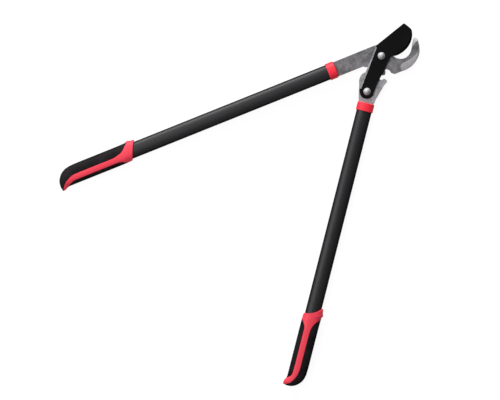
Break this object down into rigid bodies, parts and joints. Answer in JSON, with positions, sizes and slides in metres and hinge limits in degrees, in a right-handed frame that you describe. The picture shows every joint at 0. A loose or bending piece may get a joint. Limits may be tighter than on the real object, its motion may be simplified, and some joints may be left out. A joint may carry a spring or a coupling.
{
  "type": "lopper",
  "caption": "Geared bypass lopper with a hooked counter-blade, a coated cutting blade on a long tang, oval tube handles and two-tone grips.",
  "frame": {"origin": "on the main pivot's axis, at the flat end of the main pivot bolt, in the plane that the tool lies on", "axes": "+X along the fixed handle's direction towards the jaw, +Z from the surface up to the side that carries the blade"},
  "size_m": [0.7636, 0.5853, 0.027],
  "materials": {
    "plate_steel": "satin",
    "blade_coating": "satin non-stick coating",
    "bright_steel": "polished",
    "bush_bronze": "satin",
    "insert_nylon": "matte",
    "tube_paint": "fine powder coat",
    "red_plastic": "semi-gloss",
    "grip_rubber": "matte, fine grain"
  },
  "bodies": {
    "frame": {"hook_jaw": "plate_steel", "main_pivot_bush": "bush_bronze", "fixed_collar": "red_plastic", "fixed_tube": "tube_paint", "fixed_tongue_rivet": "bright_steel", "fixed_grip_core": "red_plastic", "fixed_grip_outer_pad": "grip_rubber", "fixed_grip_inner_pad": "grip_rubber"},
    "blade": {"cutting_blade": "blade_coating", "main_pivot_bolt": "bright_steel", "main_pivot_washer": "bright_steel", "main_pivot_nut": "bright_steel", "main_pivot_nut_insert": "insert_nylon", "lever_pivot_bolt": "bright_steel", "lever_pivot_washer": "bright_steel", "lever_pivot_nut": "bright_steel", "lever_pivot_nut_insert": "insert_nylon"},
    "lever": {"drive_lever": "plate_steel", "lever_pivot_bush": "bush_bronze", "moving_collar": "red_plastic", "moving_tube": "tube_paint", "moving_tongue_rivet": "bright_steel", "moving_grip_core": "red_plastic", "moving_grip_outer_pad": "grip_rubber", "moving_grip_inner_pad": "grip_rubber"}
  },
  "joints": [
    {"name": "blade_pivot", "type": "hinge", "parent": "frame", "child": "blade", "pos_m": [0, 0, 0.0135], "axis": [0, 0, -1], "range_deg": [-36, 21]},
    {"name": "lever_pivot", "type": "hinge", "parent": "blade", "child": "lever", "pos_m": [-0.05251, -0.05495, 0.0135], "axis": [0, 0, -1], "range_deg": [-30.5, 17.8]}
  ],
  "couplings": [
    {"joint": "lever_pivot", "follows": "blade_pivot", "ratio": 0.84615}
  ]
}
